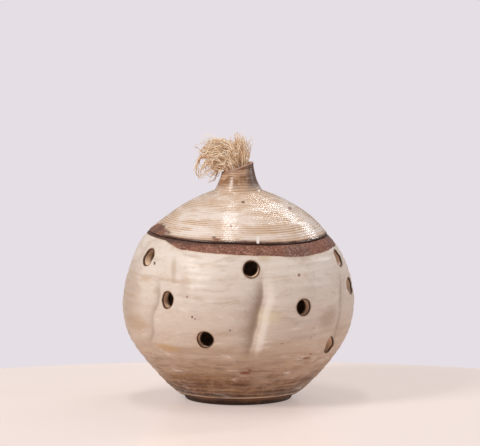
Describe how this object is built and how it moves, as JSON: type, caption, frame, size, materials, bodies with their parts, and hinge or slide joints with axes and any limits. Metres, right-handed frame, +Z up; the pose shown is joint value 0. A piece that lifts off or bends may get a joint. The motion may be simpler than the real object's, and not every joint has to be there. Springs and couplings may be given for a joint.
{
  "type": "garlic keeper",
  "caption": "Round glazed stoneware jar shaped like a head of garlic, with vent holes, a lift-off domed lid and a fibre tuft, for keeping garlic dry.",
  "frame": {"origin": "middle of the foot, on the surface that the pot stands on", "axes": "+Z up the axis of pot and lid, -Y towards the front, +X to the right, where the neck's slanted top is high"},
  "size_m": [0.13, 0.1288, 0.1502],
  "materials": {
    "glazed_stoneware": "semi-gloss off-white glaze over brown clay, toasted towards the foot, bare at the rim",
    "glazed_lid": "semi-gloss off-white glaze with fine turning lines, toasted brown on the neck",
    "glue": "dull amber hot glue",
    "plant_fibre": "dry tan plant fibre, slightly glossy strands"
  },
  "bodies": {
    "pot": {"pot": "glazed_stoneware"},
    "lid": {"lid": "glazed_lid", "glue_plug": "glue", "tuft_shank": "plant_fibre", "upright_lock": "plant_fibre", "drooping_lock": "plant_fibre", "curled_lock": "plant_fibre"}
  },
  "joints": [
    {"name": "lid_lift", "type": "slide", "parent": "pot", "child": "lid", "axis": [0, 0, 1], "range_m": [0, 0.08]}
  ]
}
